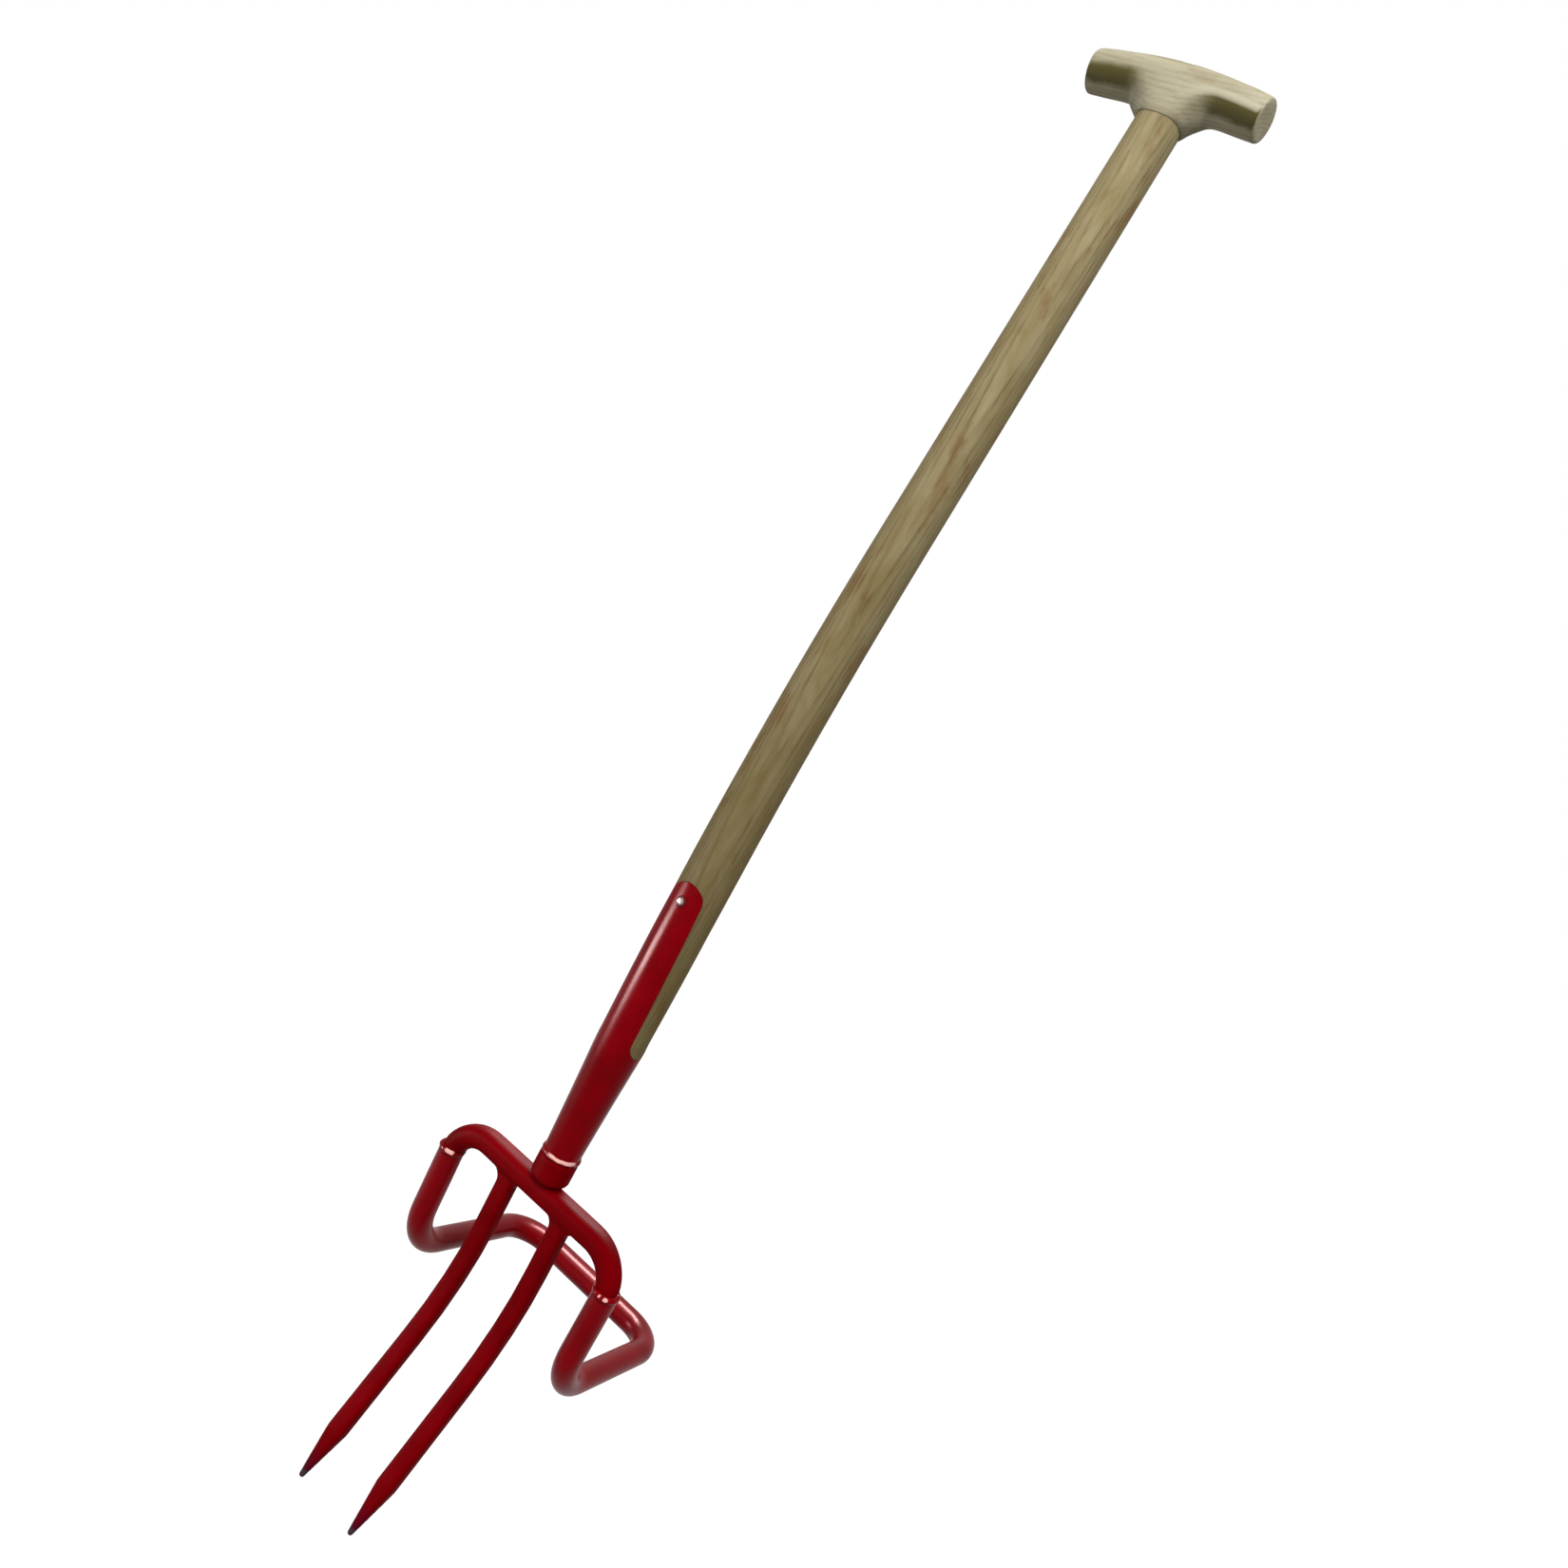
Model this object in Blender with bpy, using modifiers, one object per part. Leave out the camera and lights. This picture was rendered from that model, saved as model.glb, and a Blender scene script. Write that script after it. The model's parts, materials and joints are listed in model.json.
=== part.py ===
"""Weed puller: two forged tines with a bent-bar lever loop behind them, welded under a strapped
socket, on an ash shaft with a wedged T-grip.

The origin is the middle of the T-grip. +Z runs up the straight upper shaft, the front faces -Y,
and X is the line of the T-grip and of the crossbar. Lengths are in metres.
"""

import math

import bmesh
import bpy
from mathutils import Matrix, Vector

# Clearances
SEAT_GAP = 0.0003  # between two pieces that touch

# T-grip: an arched ash bar with a boss that comes down over the sides of the shaft
GRIP_LENGTH = 0.1224
GRIP_MIDDLE_RADIUS = 0.0159
GRIP_TOP_RADIUS = 0.0151  # of the crown over the tenon, which is pared flush with it
GRIP_PALM_RADIUS = 0.0143  # halfway along each arm
GRIP_END_RADIUS = 0.0136
GRIP_ARCH = 0.0040  # how far the ends droop below the middle
GRIP_RIM_ROUND = 0.0025
GRIP_FACE_TILT = math.radians(3.0)  # each end face looks this far down
BOSS_DROP = 0.0275  # lower edge of the boss below the grip's axis
BOSS_LIP = 0.0007  # thickness of the boss where it ends on the shaft
BOSS_SPREAD = 0.0275  # how far along the grip the boss blends in

# Tenon and wedge that hold the T-grip on the shaft
TENON_RADIUS = 0.0100
SHOULDER_DROP = 0.0175  # shoulder of the shaft below the grip's axis
WEDGE_THICKNESS = 0.0032
WEDGE_TIP_THICKNESS = 0.0010
WEDGE_DEPTH = 0.0200

# Shaft: straight below the grip, then bent back to the line of the head
SHAFT_TOP_RADIUS = 0.0157
SHAFT_BELLY_RADIUS = 0.0182  # thickest, where the straps begin
SHAFT_NOTCH_RADIUS = 0.0174  # at the bottom of the straps' notches
STRAIGHT_LENGTH = 0.3347  # from the grip's axis to the start of the bend
BEND_RADIUS = 2.084
HEAD_LEAN = math.radians(7.5)
HEAD_LENGTH = 0.2390  # from the end of the bend to the crossbar, along the head's own axis
SHAFT_END_HEIGHT = 0.048  # lower end of the wood above the crossbar's axis

# Socket: a closed cone that splits into a front and a back strap
SOCKET_FOOT_RADIUS = 0.0138
SOCKET_NOTCH_RADIUS = 0.0177
STRAP_OUTER_RADIUS = 0.0193
SOCKET_WALL = 0.0024
NOTCH_HEIGHT = 0.121  # bottom of the two side notches above the crossbar's axis
STRAP_TOP_HEIGHT = 0.2514
NOTCH_FOOT_HALF_WIDTH = 0.0113
NOTCH_TOP_HALF_WIDTH = 0.0143

# Rivet through both straps and the shaft
RIVET_SHANK_RADIUS = 0.0025
RIVET_HEAD_RADIUS = 0.0037
RIVET_HEAD_HEIGHT = 0.0021

# Neck of the fork: a round collar on the crossbar with a spigot up into the socket
COLLAR_RADIUS = 0.0147
COLLAR_BOTTOM_HEIGHT = 0.0105
COLLAR_TOP_HEIGHT = 0.0288
COLLAR_ROUND = 0.0020
SPIGOT_HEIGHT = 0.0440
NECK_SET_BACK = 0.0016  # the neck's axis passes this far behind the crossbar's centre
NECK_WELD_WIDTH = 0.0038  # along the axis
NECK_WELD_CROWN = 0.0005  # how far the bead bulges between the collar and the socket

# Crossbar and shoulders of the fork
CROSSBAR_HEIGHT = 0.0168
CROSSBAR_DEPTH = 0.0172
CROSSBAR_CORNER = 0.0058
CROSSBAR_RISE = 0.0000  # its centre line above the crossing with the neck
SHOULDER_END_RADIUS = 0.0088  # drawn down to a round where the loop is welded on
SHOULDER_HALF_WIDTH = 0.0811  # from the middle to the centre line of a leg
SHOULDER_BEND = 0.0284
JOINT_RISE = 0.0068  # the loop's leg is welded on this far above the end of the bend

# Tines
TINE_ROOT_SPACING = 0.0535
TINE_TIP_SPACING = 0.0552
TINE_WIDTH = 0.0140
TINE_DEPTH = 0.0131
TINE_CORNER = 0.0036
TINE_KNEE_DROP = 0.1003  # where the tine's root line and its point line cross
TINE_TIP_DROP = 0.2578
TINE_FORWARD = math.radians(17.0)
TINE_BEND = 0.215
POINT_LENGTH = 0.0375
POINT_SHARE = 0.27  # size of the tip, as a share of the tine's section
ROOT_OUTER_FILLET = 0.0098
ROOT_INNER_FILLET = 0.0082

# Lever loop, bent from round bar and butt-welded to the shoulders
LOOP_BAR_RADIUS = 0.0095
LEG_LEAN = math.radians(9.2)
FOOT_DROP = 0.1120  # centre line of the loop's sides below the crossbar's
FOOT_HALF_WIDTH = 0.0789
FOOT_BEND = 0.0428
LOOP_REACH = 0.1535  # from the foot bends to the back bar
BACK_HALF_WIDTH = 0.0774
BACK_BEND = 0.0296
LOOP_WELD_WIDTH = 0.0044
LOOP_WELD_CROWN = 0.0006

ARC_STEP = math.radians(7.5)  # along a bent bar
ROUND_STEPS = 32  # round a turned piece


def clear_scene():
    for obj in list(bpy.data.objects):
        bpy.data.objects.remove(obj, do_unlink=True)


def new_collection(name, hidden=False):
    collection = bpy.data.collections.new(name)
    bpy.context.scene.collection.children.link(collection)
    collection.hide_render = hidden
    return collection


def new_material(name, color, roughness, metallic):
    material = bpy.data.materials.new(name)
    material.use_nodes = True
    shader = material.node_tree.nodes["Principled BSDF"]
    shader.inputs["Base Color"].default_value = (*color, 1.0)
    shader.inputs["Roughness"].default_value = roughness
    shader.inputs["Metallic"].default_value = metallic
    return material


clear_scene()
PIECES = new_collection("weed_puller")
CUTTERS = new_collection("cutters", hidden=True)

GRIP_ASH = new_material("grip_ash", (0.42, 0.36, 0.22), 0.45, 0.0)
SHAFT_ASH = new_material("shaft_ash", (0.30, 0.24, 0.12), 0.50, 0.0)
WEDGE_BEECH = new_material("wedge_beech", (0.36, 0.22, 0.10), 0.60, 0.0)
RED_PAINT = new_material("red_paint", (0.20, 0.004, 0.008), 0.30, 0.0)
WELD_PAINT = new_material("weld_paint", (0.24, 0.010, 0.014), 0.35, 0.0)
BARE_STEEL = new_material("bare_steel", (0.55, 0.53, 0.50), 0.35, 1.0)


def add_object(name, mesh, material=None, parent=None):
    """A piece when it has a material, and otherwise a cutter or a helper."""
    obj = bpy.data.objects.new(name, mesh)
    if material is None:
        CUTTERS.objects.link(obj)
        obj.hide_render = True
        obj.display_type = "WIRE"
    else:
        PIECES.objects.link(obj)
        mesh.materials.append(material)
    obj.parent = parent
    return obj


def shade(mesh, sharp_degrees=35):
    mesh.shade_smooth()
    mesh.set_sharp_from_angle(angle=math.radians(sharp_degrees))


def boolean(obj, operation, cutter):
    modifier = obj.modifiers.new(cutter.name, "BOOLEAN")
    modifier.operation = operation
    modifier.object = cutter
    modifier.solver = "EXACT"
    return modifier


def rounded_path(corners, radii):
    """The corners joined by straight lines, each inner corner rounded to its radius."""
    points = [corners[0].copy()]
    for before, corner, after, radius in zip(corners, corners[1:], corners[2:], radii):
        come = (corner - before).normalized()
        leave = (after - corner).normalized()
        turn = come.angle(leave)
        inward = (leave - come).normalized()
        centre = corner + inward * radius / math.cos(turn / 2)
        across = (corner - centre).normalized()
        along = (come + leave).normalized()
        steps = max(3, math.ceil(turn / ARC_STEP))
        for step in range(steps + 1):
            angle = turn * (step / steps - 0.5)
            points.append(centre + radius * (math.cos(angle) * across + math.sin(angle) * along))
    points.append(corners[-1].copy())
    return points


def sweep(name, points, scales=None, radius=None, profile=None, sides=24):
    """A curve along the points: round with a radius, or with a profile curve's section."""
    data = bpy.data.curves.new(name, "CURVE")
    data.dimensions = "3D"
    data.use_fill_caps = True
    if profile is None:
        data.bevel_depth = radius
        data.bevel_resolution = (sides - 4) // 2
    else:
        data.bevel_mode = "OBJECT"
        data.bevel_object = profile
        data.twist_mode = "Z_UP"
    spline = data.splines.new("POLY")
    spline.points.add(len(points) - 1)
    for index, point in enumerate(points):
        spline.points[index].co = (*point, 1.0)
        spline.points[index].radius = 1.0 if scales is None else scales[index]
    return data


def mesh_of(curve_data, name):
    """The curve's evaluated mesh with its caps welded, so that it can be cut or joined."""
    holder = bpy.data.objects.new(name, curve_data)
    CUTTERS.objects.link(holder)
    holder.hide_render = True
    bpy.context.view_layer.update()
    graph = bpy.context.evaluated_depsgraph_get()
    mesh = bpy.data.meshes.new_from_object(holder.evaluated_get(graph))
    bpy.data.objects.remove(holder, do_unlink=True)
    welded = bmesh.new()
    welded.from_mesh(mesh)
    bmesh.ops.remove_doubles(welded, verts=welded.verts, dist=1e-6)
    bmesh.ops.recalc_face_normals(welded, faces=welded.faces)
    welded.to_mesh(mesh)
    welded.free()
    mesh.name = name
    return mesh


def plate(name, outline, half_thickness, placing, edge=0.0):
    """A flat outline given in two coordinates, thickened both ways, its edges rounded, and placed."""
    data = bpy.data.curves.new(name, "CURVE")
    data.dimensions = "2D"
    data.fill_mode = "BOTH"
    data.extrude = half_thickness - edge
    data.bevel_depth = edge
    data.bevel_resolution = 2
    data.offset = -edge
    spline = data.splines.new("POLY")
    spline.points.add(len(outline) - 1)
    for index, (first, second) in enumerate(outline):
        spline.points[index].co = (first, second, 0.0, 1.0)
    spline.use_cyclic_u = True
    mesh = mesh_of(data, name)
    mesh.transform(placing)
    return mesh


def arc(centre, radius, start, end, steps=12):
    """Points of an arc in a flat outline, from one angle in degrees to another."""
    angles = [math.radians(start + (end - start) * step / steps) for step in range(steps + 1)]
    return [(centre[0] + radius * math.cos(a), centre[1] + radius * math.sin(a)) for a in angles]


# An outline drawn in X and Z, thickened along Y
FRONT_VIEW = Matrix.Rotation(math.pi / 2, 4, "X")
# An outline drawn in Y and Z, thickened along X
SIDE_VIEW = Matrix(((0, 0, 1, 0), (1, 0, 0, 0), (0, 1, 0, 0), (0, 0, 0, 1)))


def turned(name, profile, closed=False, material=None, parent=None, steps=ROUND_STEPS):
    """A profile of (radius, height) points, running down its outer side, turned about Z."""
    mesh = bpy.data.meshes.new(name)
    points = [(radius, 0.0, height) for radius, height in profile]
    edges = [(index, index + 1) for index in range(len(points) - 1)]
    if closed:
        edges.append((len(points) - 1, 0))
    mesh.from_pydata(points, edges, [])
    obj = add_object(name, mesh, material, parent)
    screw = obj.modifiers.new("turn", "SCREW")
    screw.axis = "Z"
    screw.steps = steps
    screw.render_steps = steps
    screw.use_merge_vertices = True
    screw.merge_threshold = 1e-5
    screw.use_normal_calculate = False
    screw.use_smooth_shade = True
    return obj


def rounded_outline(width, height, corner, steps=4):
    """Points round a rectangle with rounded corners."""
    x, y = width / 2 - corner, height / 2 - corner
    return (
        arc((x, y), corner, 0, 90, steps)
        + arc((-x, y), corner, 90, 180, steps)
        + arc((-x, -y), corner, 180, 270, steps)
        + arc((x, -y), corner, 270, 360, steps)
    )


def section_curve(name, outline):
    """A closed profile curve for a swept bar."""
    data = bpy.data.curves.new(name, "CURVE")
    data.dimensions = "2D"
    spline = data.splines.new("POLY")
    spline.points.add(len(outline) - 1)
    for index, point in enumerate(outline):
        spline.points[index].co = (*point, 0.0, 1.0)
    spline.use_cyclic_u = True
    obj = bpy.data.objects.new(name, data)
    CUTTERS.objects.link(obj)
    obj.hide_render = True
    obj.display_type = "WIRE"
    return obj


# Lines that the pieces share
BEND_END_Y = BEND_RADIUS * (1 - math.cos(HEAD_LEAN))
BEND_END_Z = -STRAIGHT_LENGTH - BEND_RADIUS * math.sin(HEAD_LEAN)
HEAD_Y = BEND_END_Y + HEAD_LENGTH * math.sin(HEAD_LEAN)
HEAD_Z = BEND_END_Z - HEAD_LENGTH * math.cos(HEAD_LEAN)


def place(name, position, lean=0.0):
    """An empty that carries the pieces of one part of the tool."""
    empty = bpy.data.objects.new(name, None)
    PIECES.objects.link(empty)
    empty.location = position
    empty.rotation_euler = (lean, 0.0, 0.0)
    return empty


# The head's own axis, with its zero where it crosses the level of the crossbar
HEAD = place("head_axis", (0.0, HEAD_Y, HEAD_Z), HEAD_LEAN)
# The crossbar's centre, square to the upper shaft
FOOT = place("crossbar_centre", (0.0, HEAD_Y - NECK_SET_BACK, HEAD_Z))


def shaft_point(length):
    """The centre line of the shaft, at a length below the grip's axis."""
    if length <= STRAIGHT_LENGTH:
        return Vector((0.0, 0.0, -length))
    bent = min((length - STRAIGHT_LENGTH) / BEND_RADIUS, HEAD_LEAN)
    y = BEND_RADIUS * (1 - math.cos(bent))
    z = -STRAIGHT_LENGTH - BEND_RADIUS * math.sin(bent)
    rest = max(0.0, length - STRAIGHT_LENGTH - BEND_RADIUS * HEAD_LEAN)
    return Vector((0.0, y + rest * math.sin(HEAD_LEAN), z - rest * math.cos(HEAD_LEAN)))


CROSSBAR_LENGTH_DOWN = STRAIGHT_LENGTH + BEND_RADIUS * HEAD_LEAN + HEAD_LENGTH
STRAP_TOP_LENGTH = CROSSBAR_LENGTH_DOWN - STRAP_TOP_HEIGHT
NOTCH_LENGTH = CROSSBAR_LENGTH_DOWN - NOTCH_HEIGHT
SHAFT_END_LENGTH = CROSSBAR_LENGTH_DOWN - SHAFT_END_HEIGHT


def shaft_radius(length):
    """The bare wood: it swells down to the straps and draws in a little beside them."""
    if length <= STRAP_TOP_LENGTH:
        share = (length - SHOULDER_DROP) / (STRAP_TOP_LENGTH - SHOULDER_DROP)
        swell = share * (1.25 - 0.25 * share)
        return SHAFT_TOP_RADIUS + (SHAFT_BELLY_RADIUS - SHAFT_TOP_RADIUS) * swell
    share = min(1.0, (length - STRAP_TOP_LENGTH) / (NOTCH_LENGTH - STRAP_TOP_LENGTH))
    return SHAFT_BELLY_RADIUS + (SHAFT_NOTCH_RADIUS - SHAFT_BELLY_RADIUS) * share


# Height of the socket's lower edge, above the weld on the collar
SOCKET_FOOT_HEIGHT = COLLAR_TOP_HEIGHT + NECK_WELD_WIDTH + 2 * SEAT_GAP


def socket_radius(height):
    """The outside of the socket and its straps, at a height above the crossbar's axis."""
    if height >= NOTCH_HEIGHT:
        share = (height - NOTCH_HEIGHT) / (STRAP_TOP_HEIGHT - NOTCH_HEIGHT)
        rise = share * (2.0 - share)
        return SOCKET_NOTCH_RADIUS + (STRAP_OUTER_RADIUS - SOCKET_NOTCH_RADIUS) * rise
    share = (height - SOCKET_FOOT_HEIGHT) / (NOTCH_HEIGHT - SOCKET_FOOT_HEIGHT)
    rise = share * (0.8 + 0.2 * share)
    return SOCKET_FOOT_RADIUS + (SOCKET_NOTCH_RADIUS - SOCKET_FOOT_RADIUS) * rise


STRAP_END_RADIUS = math.sqrt(STRAP_OUTER_RADIUS**2 - NOTCH_TOP_HALF_WIDTH**2)
RIVET_HEIGHT = STRAP_TOP_HEIGHT - STRAP_END_RADIUS


def socket_levels(bottom, top, count=12):
    return [bottom + (top - bottom) * step / count for step in range(count + 1)]


def strap_outline(grow):
    """Front view of the round-ended strap, which trims the top of the turned shell."""
    half = STRAP_END_RADIUS + grow
    shoulder = RIVET_HEIGHT - 0.4 * STRAP_END_RADIUS
    low = SOCKET_FOOT_HEIGHT - 0.02
    wide = 2 * STRAP_OUTER_RADIUS
    top = arc((0.0, RIVET_HEIGHT), half, 0, 180, 20)
    return [(wide, low), (wide, shoulder - wide), (half, shoulder)] + top + [
        (-half, shoulder),
        (-wide, shoulder - wide),
        (-wide, low),
    ]


def notch_outline(grow):
    """Side view of the notch between the straps, open at the top."""
    foot = NOTCH_FOOT_HALF_WIDTH + grow
    head = NOTCH_TOP_HALF_WIDTH + grow
    centre = NOTCH_HEIGHT + NOTCH_FOOT_HALF_WIDTH
    over = STRAP_TOP_HEIGHT + 0.01
    return arc((0.0, centre), foot, 180, 360, 16) + [
        (head, STRAP_TOP_HEIGHT - STRAP_END_RADIUS),
        (head, over),
        (-head, over),
        (-head, STRAP_TOP_HEIGHT - STRAP_END_RADIUS),
    ]


def make_t_grip():
    """An arched bar with a boss, from a half cage that is mirrored and subdivided."""
    half_length = GRIP_LENGTH / 2
    ring_share = 1 / (2 / 3 + math.cos(math.radians(45)) / 3)  # an octagon cage draws in
    boss_share = 1 / (2 / 3 + math.cos(math.radians(36)) / 3)
    boss_radius = SHAFT_TOP_RADIUS + SEAT_GAP + BOSS_LIP

    def bar_ring(cage, x, radius, inset=1.0):
        share = x / half_length
        drop = GRIP_ARCH * share**2
        tilt = min(math.atan(2 * GRIP_ARCH * share / half_length), GRIP_FACE_TILT)
        verts = []
        for index in range(8):
            angle = math.radians(22.5 + 45 * index)
            y = radius * ring_share * inset * math.cos(angle)
            z = radius * ring_share * inset * math.sin(angle)
            verts.append(cage.verts.new((x + z * math.sin(tilt), y, z * math.cos(tilt) - drop)))
        return verts

    cage = bmesh.new()
    shape = [
        (0.0, GRIP_MIDDLE_RADIUS),
        (BOSS_SPREAD, 0.4 * GRIP_MIDDLE_RADIUS + 0.6 * GRIP_PALM_RADIUS),
        (0.58 * half_length, GRIP_PALM_RADIUS),
        (0.78 * half_length, GRIP_PALM_RADIUS),
        (half_length - 1.6 * GRIP_RIM_ROUND, GRIP_END_RADIUS),
        (half_length - 0.15 * GRIP_RIM_ROUND, GRIP_END_RADIUS),
    ]
    rings = [bar_ring(cage, x, radius) for x, radius in shape]
    rim = 1 - GRIP_RIM_ROUND / GRIP_END_RADIUS
    rings.append(bar_ring(cage, half_length, GRIP_END_RADIUS, rim))
    rings.append(bar_ring(cage, half_length, GRIP_END_RADIUS, 0.45))
    lower = (4, 5, 6)  # the three lower facets, which the boss takes over
    for ring, (near, far) in enumerate(zip(rings, rings[1:])):
        for index in range(8):
            if ring == 0 and index in lower:
                continue
            after = (index + 1) % 8
            cage.faces.new((near[index], near[after], far[after], far[index]))
    cage.faces.new(rings[-1])
    edge = [rings[0][4], rings[1][4], rings[1][5], rings[1][6], rings[1][7], rings[0][7]]
    levels = ((1.62, 0.30), (1.20, 0.64), (1.0, 1.0))
    for flare, share in levels:
        ring = []
        for index in range(6):
            around = math.radians(36 * index)
            side = math.sin(around) ** 2
            start = GRIP_MIDDLE_RADIUS * (0.75 + 0.25 * side)
            reach = boss_radius * boss_share * (1 + (flare - 1) * side)
            x = reach * math.sin(around)
            y = -boss_radius * boss_share * math.cos(around)
            ring.append(cage.verts.new((x, y, -(start + (BOSS_DROP - start) * share))))
        for index in range(5):
            cage.faces.new((edge[index], edge[index + 1], ring[index + 1], ring[index]))
        edge = ring
    floor = [cage.verts.new((0.0, vert.co.y, vert.co.z)) for vert in edge[1:-1]]
    row = [edge[0]] + floor + [edge[-1]]
    for index in range(5):
        corners = [edge[index], edge[index + 1], row[index + 1], row[index]]
        cage.faces.new(list(dict.fromkeys(corners)))
    bmesh.ops.recalc_face_normals(cage, faces=cage.faces)
    mesh = bpy.data.meshes.new("t_grip")
    cage.to_mesh(mesh)
    cage.free()
    grip = add_object("t_grip", mesh, GRIP_ASH)
    mirror = grip.modifiers.new("both_ends", "MIRROR")
    mirror.merge_threshold = 1e-5
    rounding = grip.modifiers.new("rounding", "SUBSURF")
    rounding.levels = 2
    rounding.render_levels = 2
    shade(mesh)

    bore = SHAFT_TOP_RADIUS + SEAT_GAP
    hole = TENON_RADIUS + SEAT_GAP
    ledge = -SHOULDER_DROP + SEAT_GAP
    over = 2 * GRIP_MIDDLE_RADIUS
    profile = [(0, over), (hole, over), (hole, ledge), (bore, ledge)]
    profile += [(bore, -BOSS_DROP - over), (0, -BOSS_DROP - over)]
    boolean(grip, "DIFFERENCE", turned("grip_bore", profile, steps=48))
    return grip


make_t_grip()


def flush_top(name):
    """A prism along X whose round top is the top of the grip at its middle."""
    outline = arc((0.0, 0.0), GRIP_TOP_RADIUS, 0, 180, 24)
    outline += [(-GRIP_TOP_RADIUS, -0.5), (GRIP_TOP_RADIUS, -0.5)]
    return add_object(name, plate(name, outline, GRIP_LENGTH, SIDE_VIEW))


def wedge_outline(grow):
    """Front view of the wedge, driven down into the tenon's saw cut."""
    top = GRIP_MIDDLE_RADIUS + 0.002
    low = GRIP_MIDDLE_RADIUS - WEDGE_DEPTH
    wide = WEDGE_THICKNESS / 2 + grow
    thin = WEDGE_TIP_THICKNESS / 2 + grow
    return [(-thin, low - grow), (thin, low - grow), (wide, top), (-wide, top)]


def make_grip_wedge():
    half_width = TENON_RADIUS
    mesh = plate("grip_wedge", wedge_outline(0.0), half_width, FRONT_VIEW)
    wedge = add_object("grip_wedge", mesh, WEDGE_BEECH)
    boolean(wedge, "INTERSECT", flush_top("wedge_flush"))
    round_sides = turned("wedge_round", [(0, 0.1), (TENON_RADIUS, 0.1), (TENON_RADIUS, -0.1), (0, -0.1)])
    boolean(wedge, "INTERSECT", round_sides)
    return wedge


make_grip_wedge()


def make_shaft():
    lengths = [SHOULDER_DROP + (STRAIGHT_LENGTH - SHOULDER_DROP) * step / 6 for step in range(6)]
    bend = BEND_RADIUS * HEAD_LEAN
    lengths += [STRAIGHT_LENGTH + bend * step / 10 for step in range(10)]
    straight = STRAIGHT_LENGTH + bend
    lengths += [straight + (SHAFT_END_LENGTH - straight) * step / 8 for step in range(9)]
    points = [shaft_point(length) for length in lengths]
    radii = [shaft_radius(length) for length in lengths]
    scales = [radius / SHAFT_BELLY_RADIUS for radius in radii]
    data = sweep("shaft", points, scales, radius=SHAFT_BELLY_RADIUS, sides=ROUND_STEPS)
    mesh = mesh_of(data, "shaft")
    shaft = add_object("shaft", mesh, SHAFT_ASH)
    shade(mesh)

    over = 2 * GRIP_MIDDLE_RADIUS
    root = -SHOULDER_DROP - TENON_RADIUS
    tenon = turned("tenon", [(0, over), (TENON_RADIUS, over), (TENON_RADIUS, root), (0, root)])
    boolean(tenon, "INTERSECT", flush_top("tenon_flush"))
    boolean(shaft, "UNION", tenon)
    slot = plate("wedge_slot", wedge_outline(SEAT_GAP), 2 * TENON_RADIUS, FRONT_VIEW)
    boolean(shaft, "DIFFERENCE", add_object("wedge_slot", slot))

    levels = socket_levels(SOCKET_FOOT_HEIGHT - 0.01, STRAP_TOP_HEIGHT + 0.004)
    outside = 2 * SHAFT_BELLY_RADIUS
    profile = [(outside, levels[-1]), (outside, levels[0])]
    profile += [(socket_radius(level) - SOCKET_WALL - SEAT_GAP, level) for level in levels]
    rebate = turned("strap_rebate", profile, closed=True, parent=HEAD, steps=48)
    trim = plate("rebate_ends", strap_outline(SEAT_GAP), outside * 2, FRONT_VIEW)
    boolean(rebate, "INTERSECT", add_object("rebate_ends", trim, parent=HEAD))
    keep = plate("rebate_sides", notch_outline(-SEAT_GAP), outside * 2, SIDE_VIEW)
    boolean(rebate, "DIFFERENCE", add_object("rebate_sides", keep, parent=HEAD))
    boolean(shaft, "DIFFERENCE", rebate)
    boolean(shaft, "DIFFERENCE", rivet_hole("shaft_rivet_hole"))
    return shaft


def rivet_hole(name):
    """A hole along Y for the rivet's shank."""
    radius = RIVET_SHANK_RADIUS + SEAT_GAP
    reach = 2 * STRAP_OUTER_RADIUS
    hole = turned(name, [(0, reach), (radius, reach), (radius, -reach), (0, -reach)], steps=20)
    hole.parent = HEAD
    hole.location = (0.0, 0.0, RIVET_HEIGHT)
    hole.rotation_euler = (math.pi / 2, 0.0, 0.0)
    return hole


make_shaft()


def make_socket():
    levels = socket_levels(SOCKET_FOOT_HEIGHT, STRAP_TOP_HEIGHT + 0.003, 16)
    outer = [(socket_radius(level), level) for level in reversed(levels)]
    inner = [(socket_radius(level) - SOCKET_WALL, level) for level in levels]
    socket = turned("socket", outer + inner, closed=True, material=RED_PAINT, parent=HEAD, steps=48)
    trim = plate("strap_ends", strap_outline(0.0), 3 * STRAP_OUTER_RADIUS, FRONT_VIEW)
    boolean(socket, "INTERSECT", add_object("strap_ends", trim, parent=HEAD))
    notch = plate("side_notches", notch_outline(0.0), 3 * STRAP_OUTER_RADIUS, SIDE_VIEW)
    boolean(socket, "DIFFERENCE", add_object("side_notches", notch, parent=HEAD))
    boolean(socket, "DIFFERENCE", rivet_hole("socket_rivet_hole"))
    return socket


make_socket()


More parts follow.
